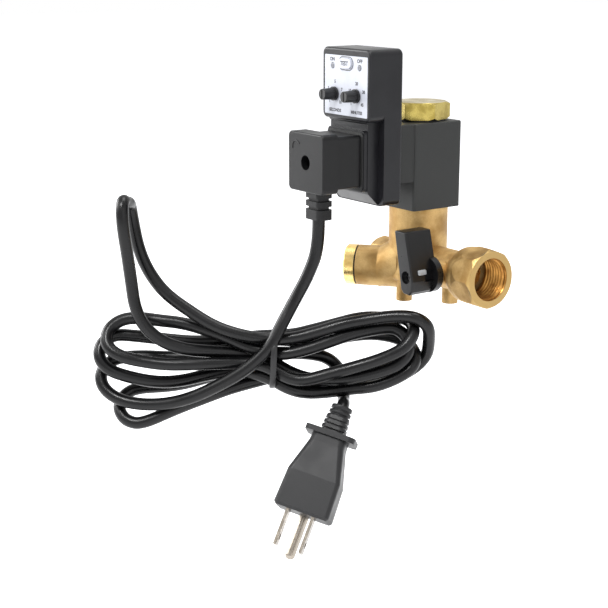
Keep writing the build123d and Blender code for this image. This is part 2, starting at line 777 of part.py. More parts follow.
pot_front = box_front + case_wall + 1.2
with BuildPart() as potentiometers:
    with BuildSketch(front_plane(board_face)):
        with Locations(*knob_places):
            RectangleRounded(9.6, 9.6, 0.8)
    extrude(amount=board_face - pot_front)
    with BuildSketch(front_plane(pot_front)):
        with Locations(*knob_places):
            Circle(shaft_r + 0.06)
    extrude(amount=-3.4, mode=Mode.SUBTRACT)
write(potentiometers.part, "potentiometers")

knob_back = box_front - 0.4
knob_front = knob_back - knob_length


def make_knob(x):
    """Trimmer knob: rear flange, tapered fluted grip, pointer slot, and its shaft."""
    with BuildPart() as knob:
        with BuildSketch(front_plane(knob_back, column_x + x, knob_z)):
            Circle(knob_flange_r)
        extrude(amount=1.0)
        with BuildSketch(front_plane(knob_back - 1.0, column_x + x, knob_z)):
            Circle(knob_r)
        extrude(amount=knob_length - 1.0, taper=2.0)
        with BuildSketch(front_plane(knob_back - 1.6, column_x + x, knob_z)):
            with PolarLocations(knob_r + 0.16, 12):
                Circle(0.42)
        extrude(amount=knob_length, mode=Mode.SUBTRACT)
        chamfer(knob.faces().sort_by(Axis.Y)[0].outer_wire().edges().filter_by(GeomType.CIRCLE), 0.12)
        with BuildSketch(front_plane(knob_front, column_x + x, knob_z)):
            Rectangle(0.8, 2 * knob_r - 1.4)
        extrude(amount=-0.7, mode=Mode.SUBTRACT)
        with BuildSketch(front_plane(knob_back, column_x + x, knob_z)):
            Circle(shaft_r)
        extrude(amount=-(pot_front - knob_back + 3.2))
    return knob.part


write(make_knob(-knob_spread / 2), "off_time_knob")
write(make_knob(knob_spread / 2), "on_time_knob")

with BuildPart() as indicator_lamps:
    with BuildSketch(front_plane(board_face)):
        with Locations(*led_places):
            Circle(led_r - 0.1)
    extrude(amount=board_face - box_front - case_wall)
    with BuildSketch(front_plane(box_front + case_wall)):
        with Locations(*led_places):
            Circle(led_r)
    extrude(amount=case_wall + 0.2)
    fillet(indicator_lamps.faces().group_by(Axis.Y)[0].edges(), radius=0.6)
write(indicator_lamps.part, "indicator_lamps")

button_face = box_front - 1.1
with BuildPart() as test_button:
    with BuildSketch(front_plane(box_front + case_wall + 1.0, z=button_z)):
        Circle(1.3)
    extrude(amount=-2.2)
    with BuildSketch(front_plane(box_front + case_wall + 1.0, z=button_z)):
        SlotOverall(button_wide, button_high)
    extrude(amount=box_front + case_wall + 1.0 - button_face)
    fillet(test_button.faces().sort_by(Axis.Y)[0].edges(), radius=0.4)
write(test_button.part, "test_button")

with BuildPart() as test_switch:
    # its rubber-dome plunger stops the button
    switch_face = box_front + case_wall + 1.0 + 2.2 + button_travel + 0.1
    with BuildSketch(front_plane(board_face, z=button_z)):
        RectangleRounded(6.0, 6.0, 0.6)
    extrude(amount=board_face - switch_face)
write(test_switch.part, "test_switch")

with BuildPart() as dial_plate:
    with BuildSketch(front_plane(box_front + label_thick)):
        with Locations((0, label_z)):
            RectangleRounded(label_wide, label_high, 0.6)
        with Locations(*knob_places):
            Circle(shaft_r + loose, mode=Mode.SUBTRACT)
        with Locations(*led_places):
            Circle(led_r + 0.1, mode=Mode.SUBTRACT)
        with Locations((0, button_z)):
            SlotOverall(button_wide + 0.2, button_high + 0.2, mode=Mode.SUBTRACT)
    extrude(amount=label_thick)
write(dial_plate.part, "dial_plate")

# ---- cord connector ----------------------------------------------------------------------------
with BuildPart() as connector_gasket:
    with BuildSketch(front_plane(rim_front, z=plug_z)):
        RectangleRounded(plug_size - 0.6, plug_size - 0.6, 1.8)
        RectangleRounded(plug_size - 7.6, plug_size - 7.6, 1.0, mode=Mode.SUBTRACT)
    extrude(amount=gasket_thick)
write(connector_gasket.part, "connector_gasket")

with BuildPart() as connector:
    with BuildSketch(front_plane(plug_back, z=plug_z)):
        RectangleRounded(plug_size - 2 * plug_inset, plug_size - 2 * plug_inset, plug_corner - 1.0)
    extrude(amount=plug_deep - plug_front_band)
    with BuildSketch(front_plane(plug_face + plug_front_band, z=plug_z)):
        RectangleRounded(plug_size, plug_size, plug_corner)
    extrude(amount=plug_front_band)
    fillet(connector.faces().sort_by(Axis.Y)[0].edges(), radius=0.8)
    with BuildSketch(front_plane(plug_face, z=plug_z)):
        Circle(screw_recess_r)
    extrude(amount=-screw_recess_deep, mode=Mode.SUBTRACT)
    with BuildSketch(front_plane(plug_back, z=plug_z)):
        Circle(screw_r + loose)
    extrude(amount=plug_deep - screw_recess_deep, mode=Mode.SUBTRACT)
    with BuildSketch(front_plane(plug_back, z=plug_z)):
        pin_sketch(0.15)
    extrude(amount=8.6, mode=Mode.SUBTRACT)
write(connector.part, "connector")

with BuildPart() as long_screw:
    # one screw holds the connector and the timer to the coil
    head_at = plug_face + screw_recess_deep
    with BuildSketch(front_plane(head_at, z=plug_z)):
        Circle(screw_recess_r - 0.4)
    extrude(amount=2.4)
    with BuildSketch(front_plane(head_at, z=plug_z)):
        Circle(screw_r)
    extrude(amount=-(6.0 - block_front - head_at))
    with BuildSketch(front_plane(head_at - 2.4, z=plug_z)):
        Rectangle(2 * screw_recess_r, 0.9)
    extrude(amount=-1.2, mode=Mode.SUBTRACT)
write(long_screw.part, "long_screw")

relief_top = plug_z - plug_size / 2
relief_foot = relief_top - relief_length
with BuildPart() as connector_relief:
    # ribbed sleeve: three collars with grooves between them
    with BuildSketch(Plane.XY.move(Location((column_x, relief_y, relief_foot)))):
        RectangleRounded(relief_wide, relief_thick, 2.4)
    extrude(amount=relief_length)
    for level in (0.36, 0.66):
        with BuildSketch(Plane.XY.move(Location((column_x, relief_y, relief_foot + level * relief_length)))):
            Rectangle(relief_wide + 1, relief_thick + 1)
            RectangleRounded(relief_wide - 2.4, relief_thick - 2.4, 1.6, mode=Mode.SUBTRACT)
        extrude(amount=1.5, mode=Mode.SUBTRACT)
write(connector_relief.part, "connector_relief")

# ---- cord ------------------------------------------------------------------------------------
hank_way = Vector(math.cos(math.radians(hank_turn)), math.sin(math.radians(hank_turn)), 0)
hank_plane = Plane(
    origin=(column_x, relief_y, 0), x_dir=hank_way, z_dir=(hank_way.Y, -hank_way.X, 0)
)


def on_hank(along, height, out=0.0):
    """Point of the hank: along its spread, at a height, out towards the front."""
    return hank_plane.from_local_coords(Vector(along, height, out))


def cord_tube(name, points):
    """Tube on straight runs joined by the largest tangent arcs that the runs allow."""
    radii = []
    for before, here, after in zip(points, points[1:], points[2:]):
        turn = math.radians((here - before).get_angle(after - here))
        radii.append(0.45 * min((here - before).length, (after - here).length) / math.tan(turn / 2))
    with BuildPart() as tube:
        with BuildLine() as route:
            if radii:
                FilletPolyline(*points, radius=radii)
            else:
                Line(*points)
        path = route.wire()
        with BuildSketch(Plane(origin=points[0], z_dir=points[1] - points[0])):
            Circle(cord_r)
        sweep(path=path)
    section = math.pi * cord_r**2 * path.length
    print(name, "radii", [round(r) for r in radii], "length", round(path.length, 1),
          "volume / section x length", round(tube.part.volume / section, 4))
    return tube.part


lead_route = [
    on_hank(0, relief_foot),
    on_hank(0, 14.0),
    on_hank(-5.0, 0.5, 0.8),
    on_hank(-12.0, -12.5, 0.4),
    on_hank(-19.0, -25.0, -0.3),
    on_hank(-22.0, -31.0, -0.2),
]
write(cord_tube("cord_lead", lead_route), "cord_lead")

hank_outline = [
    (-91.5, 40.5), (-84.0, 21.0), (-75.0, 0.0), (-61.0, -17.0), (-36.0, -26.0), (-22.0, -26.8),
    (8.0, -21.0), (42.0, -15.0), (56.0, -20.5), (58.5, -34.0), (48.0, -53.0), (20.0, -64.0),
    (-6.0, -61.0), (-22.0, -56.0), (-46.0, -60.0), (-72.0, -71.0), (-96.0, -76.0),
    (-109.5, -60.0), (-109.5, -40.0), (-101.0, -22.0), (-94.5, -2.0), (-97.5, 26.0),
]
with BuildPart() as cord_hank:
    with BuildSketch(hank_plane):
        with BuildLine():
            Spline(*hank_outline, periodic=True)
        make_face()
    extrude(amount=hank_thick / 2, both=True)
write(cord_hank.part, "cord_hank")

with BuildPart() as hank_tie:
    with BuildSketch(Plane(origin=on_hank(-22.0 - tie_wide / 2, -41.4), x_dir=(0, 0, 1), z_dir=hank_way)):
        RectangleRounded(31.0, hank_thick + 2 * tie_thick, 3.0)
        RectangleRounded(31.0 - 2 * tie_thick, hank_thick, 2.0, mode=Mode.SUBTRACT)
    extrude(amount=tie_wide)
write(hank_tie.part, "hank_tie")

tilt = math.radians(mains_tilt)
lean_out = math.radians(mains_lean)
face_out = hank_plane.z_dir
across = hank_way * math.cos(tilt) - Vector(0, 0, 1) * math.sin(tilt)
hanging = Vector(0, 0, -1) * math.cos(tilt) - hank_way * math.sin(tilt)
down = hanging * math.cos(lean_out) + face_out * math.sin(lean_out)
turn = math.radians(mains_turn)
mains_x = across * math.cos(turn) + down.cross(across) * math.sin(turn)
mains_top = on_hank(9.6, -66.4, 15.4)
mains_plane = Plane(origin=mains_top, x_dir=mains_x, z_dir=down)

tail_route = [mains_top - down * 8.0, mains_top]
write(cord_tube("cord_tail", tail_route), "cord_tail")

# ---- mains plug --------------------------------------------------------------------------------
with BuildPart() as mains_relief:
    # tapered sleeve with ribs across it
    with BuildSketch(mains_plane):
        RectangleRounded(11.2, 9.0, 3.0)
    with BuildSketch(mains_plane.offset(mains_relief_length)):
        RectangleRounded(12.8, 10.6, 3.4)
    loft()
    for step in (1.6, 4.0, 6.4):
        with BuildSketch(mains_plane.offset(step)):
            Rectangle(20, 20)
            RectangleRounded(9.4, 7.4, 2.6, mode=Mode.SUBTRACT)
        extrude(amount=1.0, mode=Mode.SUBTRACT)
write(mains_relief.part, "mains_relief")

with BuildPart() as mains_body:
    # grip collar, then the body widening to its face
    with BuildSketch(mains_plane.offset(mains_relief_length)):
        RectangleRounded(collar_wide, mains_neck_thick + 3.0, 3.0)
    extrude(amount=collar_thick)
    sections = ((collar_thick, mains_neck, mains_neck_thick, 3.4),
                (6.6, mains_neck + 0.4, mains_neck_thick + 0.4, 3.0),
                (23.0, mains_wide - 1.2, mains_thick - 1.2, 2.2),
                (mains_length, mains_wide, mains_thick, 2.0))
    for start, end in zip(sections, sections[1:]):
        with BuildSketch(mains_plane.offset(mains_relief_length + start[0])):
            RectangleRounded(*start[1:])
        with BuildSketch(mains_plane.offset(mains_relief_length + end[0])):
            RectangleRounded(*end[1:])
        loft()
    mains_face = mains_relief_length + mains_length
    plug_axis = Axis(mains_top, down)
    chamfer(mains_body.faces().sort_by(plug_axis)[-1].edges(), 1.2)
write(mains_body.part, "mains_body")

with BuildPart() as mains_blades:
    with BuildSketch(mains_plane.offset(mains_face)):
        with Locations((-blade_pitch / 2, blade_offset), (blade_pitch / 2, blade_offset)):
            Rectangle(blade_thick, blade_wide)
    extrude(amount=blade_length)
    with BuildSketch(Plane(origin=mains_plane.from_local_coords(Vector(0, blade_offset, mains_face + 13.6)),
                           x_dir=down, z_dir=mains_x)):
        Circle(1.6)
    extrude(amount=blade_pitch, both=True, mode=Mode.SUBTRACT)
    chamfer(mains_blades.faces().group_by(plug_axis)[-1].edges(), 0.4)
write(mains_blades.part, "mains_blades")

with BuildPart() as ground_pin:
    with BuildSketch(mains_plane.offset(mains_face)):
        with Locations((0, blade_offset - pin_offset)):
            Circle(pin_r)
    extrude(amount=pin_length)
    fillet(ground_pin.faces().sort_by(plug_axis)[-1].edges(), radius=pin_r - 0.2)
write(ground_pin.part, "ground_pin")
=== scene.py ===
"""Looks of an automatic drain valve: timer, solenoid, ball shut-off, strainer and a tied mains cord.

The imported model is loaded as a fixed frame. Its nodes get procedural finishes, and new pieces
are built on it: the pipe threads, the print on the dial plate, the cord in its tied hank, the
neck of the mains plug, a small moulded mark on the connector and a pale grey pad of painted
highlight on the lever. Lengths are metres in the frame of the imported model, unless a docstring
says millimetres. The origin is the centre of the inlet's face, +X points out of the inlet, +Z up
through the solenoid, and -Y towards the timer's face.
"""

from __future__ import annotations

import json
import logging
import math
from dataclasses import dataclass, field
from enum import Enum
from functools import cached_property
from typing import Mapping, Sequence

import bpy
import numpy as np
from mathutils import Matrix, Vector

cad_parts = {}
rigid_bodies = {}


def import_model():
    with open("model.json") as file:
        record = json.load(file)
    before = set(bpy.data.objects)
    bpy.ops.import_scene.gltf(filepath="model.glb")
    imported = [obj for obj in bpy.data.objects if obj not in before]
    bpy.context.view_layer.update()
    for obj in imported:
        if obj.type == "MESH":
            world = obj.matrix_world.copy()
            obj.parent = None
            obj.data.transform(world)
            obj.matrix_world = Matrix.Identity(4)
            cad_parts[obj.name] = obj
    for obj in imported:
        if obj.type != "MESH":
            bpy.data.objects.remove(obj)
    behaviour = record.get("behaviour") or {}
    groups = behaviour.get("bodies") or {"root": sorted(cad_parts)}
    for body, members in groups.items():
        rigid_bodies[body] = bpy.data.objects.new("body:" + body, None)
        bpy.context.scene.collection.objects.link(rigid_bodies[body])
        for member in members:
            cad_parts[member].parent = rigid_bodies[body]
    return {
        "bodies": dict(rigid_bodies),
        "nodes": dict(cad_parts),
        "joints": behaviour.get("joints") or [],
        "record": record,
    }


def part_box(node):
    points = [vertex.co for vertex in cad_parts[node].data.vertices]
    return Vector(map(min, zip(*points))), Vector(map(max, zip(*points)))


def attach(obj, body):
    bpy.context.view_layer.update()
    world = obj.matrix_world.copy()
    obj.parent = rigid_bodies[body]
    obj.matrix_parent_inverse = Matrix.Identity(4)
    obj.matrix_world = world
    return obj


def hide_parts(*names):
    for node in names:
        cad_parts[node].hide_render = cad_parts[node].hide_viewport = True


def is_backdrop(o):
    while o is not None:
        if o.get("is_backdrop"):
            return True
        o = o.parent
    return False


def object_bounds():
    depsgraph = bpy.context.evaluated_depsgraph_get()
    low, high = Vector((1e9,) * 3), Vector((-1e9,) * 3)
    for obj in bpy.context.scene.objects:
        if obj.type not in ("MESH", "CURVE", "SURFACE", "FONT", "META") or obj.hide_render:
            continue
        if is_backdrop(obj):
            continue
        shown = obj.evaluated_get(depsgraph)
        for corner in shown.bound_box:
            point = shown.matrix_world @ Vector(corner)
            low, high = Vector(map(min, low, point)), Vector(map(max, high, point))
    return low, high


LOG = logging.getLogger("drain_valve")

MM = 0.001
FULL_TURN = 2 * math.pi
COLUMN_X = -54.0 * MM
LEG_TURN = math.radians(38.0)

Colour = tuple[float, float, float, float]
Place = tuple[float, float, float]
BLACK: Colour = (0.0, 0.0, 0.0, 1.0)
WHITE: Colour = (1.0, 1.0, 1.0, 1.0)


def linear(red: int, green: int, blue: int) -> Colour:
    """Turn a display colour into the linear colour that shaders use.

    Args:
        red: red from 0 to 255.
        green: green from 0 to 255.
        blue: blue from 0 to 255.

    Returns:
        Linear red, green, blue and an alpha of one.
    """
    def one(value: int) -> float:
        """Undo the display's curve, which is straight near black and a power above."""
        part = value / 255.0
        return part / 12.92 if part <= 0.04045 else ((part + 0.055) / 1.055) ** 2.4

    return one(red), one(green), one(blue), 1.0


def tint(colour: Colour, factor: float, lift: float = 0.0) -> Colour:
    """Multiply a colour by a factor, add a lift and stop at one."""
    red, green, blue = (min(1.0, part * factor + lift) for part in colour[:3])
    return red, green, blue, 1.0


def unit(vector: np.ndarray) -> np.ndarray:
    """The vector of length one in the same direction."""
    return vector / np.linalg.norm(vector)


def turns(count: int) -> np.ndarray:
    """A number of equal steps round a full turn, in radians, without the closing one."""
    return np.linspace(0.0, FULL_TURN, count, endpoint=False)


# ---------------------------------------------------------------------------------------
# shader graphs


class Signal:
    """A socket of a shader graph that is added, subtracted and multiplied like a number."""

    def __init__(self, graph: "Graph", socket: bpy.types.NodeSocket) -> None:
        """Keep the socket and the graph that it belongs to."""
        self.graph = graph
        self.socket = socket

    def _math(self, operation: str, *values: "Signal | float") -> "Signal":
        """Add a Math node that takes these values."""
        return self.graph.node("ShaderNodeMath", dict(enumerate(values)), operation=operation)

    def __add__(self, other: "Signal | float") -> "Signal":
        """This plus another."""
        return self._math("ADD", self, other)

    def __radd__(self, other: float) -> "Signal":
        """A number plus this."""
        return self._math("ADD", other, self)

    def __sub__(self, other: "Signal | float") -> "Signal":
        """This less another."""
        return self._math("SUBTRACT", self, other)

    def __rsub__(self, other: float) -> "Signal":
        """A number less this."""
        return self._math("SUBTRACT", other, self)

    def __mul__(self, other: "Signal | float") -> "Signal":
        """This times another."""
        return self._math("MULTIPLY", self, other)

    def __rmul__(self, other: float) -> "Signal":
        """A number times this."""
        return self._math("MULTIPLY", other, self)

    def highest(self, other: "Signal") -> "Signal":
        """The higher of this and another."""
        return self._math("MAXIMUM", self, other)

    def waves(self, pitch: float) -> "Signal":
        """The sine of this length, from -1 to 1, with one full wave in each pitch."""
        return self._math("SINE", self * (FULL_TURN / pitch))

    def ramp(self, low: float, high: float, start: float = 0.0, end: float = 1.0) -> "Signal":
        """Move smoothly from start, where this is at low, to end, where it is at high."""
        return self.graph.node(
            "ShaderNodeMapRange",
            {"Value": self, "From Min": low, "From Max": high, "To Min": start, "To Max": end},
            interpolation_type="SMOOTHSTEP",
        )

    def axis(self, name: str) -> "Signal":
        """Take the X, Y or Z of a vector."""
        return self.graph.node("ShaderNodeSeparateXYZ", {0: self}, output=name)


class Graph:
    """Builds the node tree of a material or of the world."""

    # Numbers of the Mix node's two colour inputs and of its colour output.
    MIX_FIRST, MIX_SECOND, MIX_COLOUR = 6, 7, 2

    def __init__(self, owner: bpy.types.Material | bpy.types.World) -> None:
        """Empty the tree of the material or world that is built."""
        owner.use_nodes = True
        self.owner = owner
        self.tree = owner.node_tree
        self.tree.nodes.clear()

    @cached_property
    def place(self) -> Signal:
        """The object's coordinates."""
        return self.node("ShaderNodeTexCoord", output="Object")

    def add(self, kind: str, inputs: Mapping[int | str, object], **settings: object) -> bpy.types.Node:
        """Add a node.

        Args:
            kind: the node's type.
            inputs: a value or a signal for each socket, by its number or name.
            settings: the node's own settings, which are set first.

        Returns:
            The node.
        """
        made = self.tree.nodes.new(kind)
        for key, value in settings.items():
            setattr(made, key, value)
        for key, value in inputs.items():
            if isinstance(value, Signal):
                self.tree.links.new(value.socket, made.inputs[key])
            else:
                made.inputs[key].default_value = value
        return made

    def node(self, kind: str, inputs: Mapping[int | str, object] | None = None,
             output: int | str = 0, **settings: object) -> Signal:
        """Add a node, as add does, and take one of its outputs by its number or name."""
        return Signal(self, self.add(kind, inputs or {}, **settings).outputs[output])

    def noise(self, scale: float, detail: float = 3.0, roughness: float = 0.55,
              at: Signal | None = None) -> Signal:
        """Cloudy noise from 0 to 1.

        Args:
            scale: grains per metre.
            detail: how many finer layers it has.
            roughness: how strong the finer layers are.
            at: where it is read, if not at the object's coordinates.

        Returns:
            The noise.
        """
        return self.node("ShaderNodeTexNoise", {
            "Vector": at or self.place, "Scale": scale, "Detail": detail, "Roughness": roughness})

    def stretched(self, stretch: Place) -> Signal:
        """The object's coordinates, stretched along each axis."""
        return self.node("ShaderNodeVectorMath", {0: self.place, 1: stretch}, operation="MULTIPLY")

    def blend(self, share: Signal | float, first: Signal | Colour, second: Signal | Colour) -> Signal:
        """Mix two colours; share 0 is the first and 1 the second."""
        colours = {0: share, self.MIX_FIRST: first, self.MIX_SECOND: second}
        return self.node("ShaderNodeMix", colours, output=self.MIX_COLOUR, data_type="RGBA")

    def bump(self, height: Signal, distance: float, strength: float) -> Signal:
        """A normal roughened by a height from 0 to 1, with its depth in metres."""
        return self.node("ShaderNodeBump", {"Height": height, "Distance": distance, "Strength": strength})

    def seen(self) -> Signal:
        """One for what is seen, straight, mirrored or through glass, and zero for other light."""
        camera, glossy, passing = (
            self.node("ShaderNodeLightPath", output=f"Is {kind} Ray")
            for kind in ("Camera", "Glossy", "Transmission"))
        return camera.highest(glossy).highest(passing)

    def finish(self, **sockets: Signal | float | Colour) -> bpy.types.Material:
        """Feed the surface shader, whose sockets are named with underscores, and close the tree."""
        inputs = {key.replace("_", " "): value for key, value in sockets.items()}
        shader = self.node("ShaderNodeBsdfPrincipled", inputs)
        self.add("ShaderNodeOutputMaterial", {"Surface": shader})
        return self.owner


# ---------------------------------------------------------------------------------------
# finishes


@dataclass(frozen=True)
class Finish:
    """A surface finish. Each kind builds its own material."""

    name: str

    def graph(self) -> Graph:
        """Start the material of this finish."""
        return Graph(bpy.data.materials.new(self.name))

    def build(self) -> bpy.types.Material:
        """Make the material of this finish."""
        raise NotImplementedError


@dataclass(frozen=True)
class CastBrass(Finish):
    """Sand-cast brass with a sandy skin, darker in its hollows, and turned at the inlet's face."""

    light: Colour = linear(204, 174, 120)
    dark: Colour = linear(152, 120, 72)
    machined: Colour = linear(166, 138, 88)
    skin_end: float = -1.6 * MM
    face_start: float = -0.9 * MM
    cloud_grain: float = 90.0
    sand_grain: float = 2600.0
    pit_grain: float = 900.0
    depth: float = 0.12 * MM

    def build(self) -> bpy.types.Material:
        """Make the material: a sandy bump, and a smoother turned face."""
        g = self.graph()
        cloud = g.noise(self.cloud_grain, 4.0)
        sand = g.noise(self.sand_grain, 3.0, 0.7)
        pits = g.noise(self.pit_grain, 2.0, 0.6)
        turned = g.place.axis("X").ramp(self.skin_end, self.face_start)
        skin = g.blend(cloud.ramp(0.32, 0.68), self.dark, self.light)
        skin = g.blend(sand.ramp(0.3, 0.7) * 0.35, skin, self.dark)
        return g.finish(
            Base_Color=g.blend(turned, skin, self.machined), Metallic=1.0,
            Roughness=cloud.ramp(0.3, 0.7, 0.5, 0.62) - turned * 0.2,
            Normal=g.bump(sand + pits * 0.8, self.depth, 0.75))


@dataclass(frozen=True)
class TurnedBrass(Finish):
    """Bright brass with the fine rings that a lathe leaves round an axis."""

    colour: Colour = linear(255, 222, 148)
    shade: Colour = linear(214, 178, 102)
    start: Place = (COLUMN_X, 0.0, 0.0)
    along: Place = (0.0, 0.0, 1.0)
    pitch: float = 0.32 * MM
    wobble: float = 0.1 * MM
    depth: float = 0.015 * MM
    rough: float = 0.26

    def build(self) -> bpy.types.Material:
        """Make the material: rings are a sine of the distance along the axis."""
        g = self.graph()
        offset = g.node("ShaderNodeVectorMath", {0: g.place, 1: self.start}, operation="SUBTRACT")
        run = g.node("ShaderNodeVectorMath", {0: offset, 1: self.along}, "Value", operation="DOT_PRODUCT")
        ring = (run + g.noise(420.0, 2.0) * self.wobble).waves(self.pitch)
        cloud = g.noise(160.0, 4.0)
        return g.finish(
            Base_Color=g.blend(cloud.ramp(0.35, 0.7), self.colour, self.shade), Metallic=1.0,
            Roughness=cloud.ramp(0.3, 0.7, self.rough, self.rough + 0.12),
            Normal=g.bump(ring * 0.5 + 0.5, self.depth, 0.6))


@dataclass(frozen=True)
class Plated(Finish):
    """Drawn or plated metal: smooth, with faint scratches along one direction."""

    colour: Colour = linear(205, 200, 190)
    tarnish: Colour = linear(150, 138, 120)
    rough: float = 0.22
    stretch: Place = (700.0, 700.0, 60.0)
    depth: float = 0.01 * MM

    def build(self) -> bpy.types.Material:
        """Make the material: scratches are noise stretched along the height."""
        g = self.graph()
        scratch = g.noise(1.0, 3.0, 0.6, at=g.stretched(self.stretch))
        cloud = g.noise(120.0)
        return g.finish(
            Base_Color=g.blend(cloud.ramp(0.3, 0.75) * 0.35, self.colour, self.tarnish), Metallic=1.0,
            Roughness=scratch.ramp(0.3, 0.7, self.rough, self.rough + 0.16),
            Normal=g.bump(scratch, self.depth, 0.5))


@dataclass(frozen=True)
class Moulded(Finish):
    """Moulded plastic or rubber: an even colour, a fine spark texture and a soft sheen."""

    colour: Colour = linear(40, 40, 42)
    rough: float = 0.42
    grain: float = 1900.0
    depth: float = 0.02 * MM
    wear: float = 0.25
    sheen: float = 0.42

    def build(self) -> bpy.types.Material:
        """Make the material: worn patches are a lighter tint of the colour."""
        g = self.graph()
        cloud = g.noise(70.0, 4.0)
        spark = g.noise(self.grain, 2.0, 0.6)
        lighter = tint(self.colour, 1.6, 0.004)
        return g.finish(
            Base_Color=g.blend(cloud.ramp(0.3, 0.75) * self.wear, self.colour, lighter),
            Roughness=cloud.ramp(0.3, 0.7, self.rough - 0.04, self.rough + 0.08),
            Normal=g.bump(spark, self.depth, 0.6),
            Specular_IOR_Level=self.sheen)


@dataclass(frozen=True)
class Printed(Finish):
    """Ink or smooth print: an even colour with a very slight mottle."""

    colour: Colour = linear(232, 234, 240)
    rough: float = 0.35

    def build(self) -> bpy.types.Material:
        """Make the material: the mottle is a darker tint of the colour."""
        g = self.graph()
        mottle = g.noise(240.0)
        return g.finish(
            Base_Color=g.blend(mottle.ramp(0.35, 0.75) * 0.5, self.colour, tint(self.colour, 0.86)),
            Roughness=mottle.ramp(0.3, 0.7, self.rough, self.rough + 0.1),
            Coat_Weight=0.25)


@dataclass(frozen=True)
class Winding(Finish):
    """Enamelled copper wire in close turns up the column."""

    colour: Colour = linear(168, 92, 52)
    pitch: float = 0.5 * MM
    depth: float = 0.12 * MM

    def build(self) -> bpy.types.Material:
        """Make the material: turns are a sine of the height, and the colour falls to a dark tint in the
        grooves between turns, as painted shade.
        """
        g = self.graph()
        turn = g.place.axis("Z").waves(self.pitch)
        # painted shade: the grooves between the turns take 0.45 of the copper's colour
        return g.finish(
            Base_Color=g.blend(turn.ramp(-1.0, 0.2), tint(self.colour, 0.45), self.colour), Metallic=1.0,
            Roughness=0.35, Normal=g.bump(turn * 0.5 + 0.5, self.depth, 0.8))


FINISHES: dict[str, Finish] = {
    "brass_cast": CastBrass("cast_brass"),
    "brass_turned": TurnedBrass(
        "turned_brass", start=(COLUMN_X, 0.0, -4.0 * MM),
        along=(-math.cos(LEG_TURN), -math.sin(LEG_TURN), 0.0), pitch=0.45 * MM),
    "brass_polished": TurnedBrass(
        "polished_nut", colour=linear(180, 162, 90), shade=linear(146, 128, 62),
        pitch=0.24 * MM, rough=0.2),
    "thread": TurnedBrass(
        "cut_thread", colour=linear(182, 134, 70), shade=linear(132, 88, 40),
        along=(1.0, 0.0, 0.0), rough=0.3),
    "steel": Plated("stainless_steel", colour=linear(190, 190, 188)),
    "chrome_brass": Plated("chromed_ball", colour=linear(215, 215, 214), rough=0.08),
    "nickel": Plated("nickel_plate", colour=linear(158, 151, 142), rough=0.16),
    "zinc": Plated("zinc_plate", colour=linear(200, 202, 204), rough=0.25),
    "copper": Winding("copper_winding"),
    "ptfe": Moulded("white_ptfe", colour=linear(228, 228, 222), rough=0.5, wear=0.1),
    "seal_rubber": Moulded("seal_rubber", colour=linear(28, 28, 28), rough=0.6),
    "lever_plastic": Moulded(
        "lever_nylon", colour=linear(12, 12, 13), rough=0.3, grain=2400.0, sheen=0.3),
    "coil_resin": Moulded(
        "coil_resin", colour=linear(37, 38, 37), rough=0.5, sheen=0.35, grain=1500.0, depth=0.04 * MM),
    "case_plastic": Moulded(
        "case_abs", colour=linear(20, 20, 23), rough=0.32, sheen=0.3, grain=2200.0),
    "board_green": Moulded("circuit_board", colour=linear(30, 92, 58), rough=0.45),
    "knob_plastic": Moulded("knob_plastic", colour=linear(22, 22, 23), rough=0.32),
    "connector_pvc": Moulded(
        "connector_pvc", colour=linear(14, 14, 15), rough=0.38, grain=1700.0, sheen=0.25),
    "cord_pvc": Moulded(
        "cord_sheath", colour=linear(12, 12, 13), rough=0.27, grain=900.0, depth=0.03 * MM, sheen=0.26),
    "plug_pvc": Moulded("plug_pvc", colour=linear(30, 30, 31), rough=0.42, grain=1500.0, sheen=0.3),
    "tie_plastic": Moulded("tie_plastic", colour=linear(22, 22, 23), rough=0.35),
    "label_white": Printed("dial_plate", colour=linear(192, 195, 204)),
    "lamp_lens": Printed("lamp_lens", colour=linear(120, 122, 128), rough=0.18),
    "button_white": Printed("button_cap", colour=linear(200, 203, 212), rough=0.28),
    "ink_black": Printed("ink_black", colour=linear(34, 36, 44), rough=0.4),
    # painted highlight: the pale grey of the pad on the lever, which stands for the light sheen on a facet of
    # the lever
    "painted_highlight_grey": Printed("painted_highlight_grey", colour=linear(150, 152, 154), rough=0.25),
}

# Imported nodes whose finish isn't the one of their material slot.
OWN_FINISH = {"mains_body": "plug_pvc", "mains_relief": "plug_pvc"}

# The material slot of each finish of a new piece. seat only looks it up and doesn't give it to the piece.
SLOT_OF = {
    "thread": "brass_cast",
    "cord_pvc": "cord_pvc",
    "tie_plastic": "tie_plastic",
    "ink_black": "label_white",
    "connector_pvc": "connector_pvc",
    "painted_highlight_grey": "lever_plastic",
    "plug_pvc": "connector_pvc",
}


class Palette:
    """Every finish of the valve, made once and shared."""

    def __init__(self) -> None:
        """Start with no material made."""
        self._made: dict[str, bpy.types.Material] = {}

    def __getitem__(self, name: str) -> bpy.types.Material:
        """The material of a finish, made when it is first asked for."""
        if name not in self._made:
            self._made[name] = FINISHES[name].build()
        return self._made[name]

    def dress(self, nodes: dict[str, bpy.types.Object], record: dict) -> int:
        """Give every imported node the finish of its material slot.

        Args:
            nodes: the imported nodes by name.
            record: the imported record, which names the slot of each node.

        Returns:
            How many nodes were dressed.
        """
        slots = {row["node"]: row["material_slot"] for row in record["subparts"]}
        for name, thing in nodes.items():
            thing.data.materials.clear()
            thing.data.materials.append(self[OWN_FINISH.get(name, slots[name])])
        return len(nodes)


# ---------------------------------------------------------------------------------------
# pieces and surfaces


class Body(Enum):
    """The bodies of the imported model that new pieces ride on."""

    VALVE = "valve"
    LEVER = "lever"
    BUTTON = "test_button"


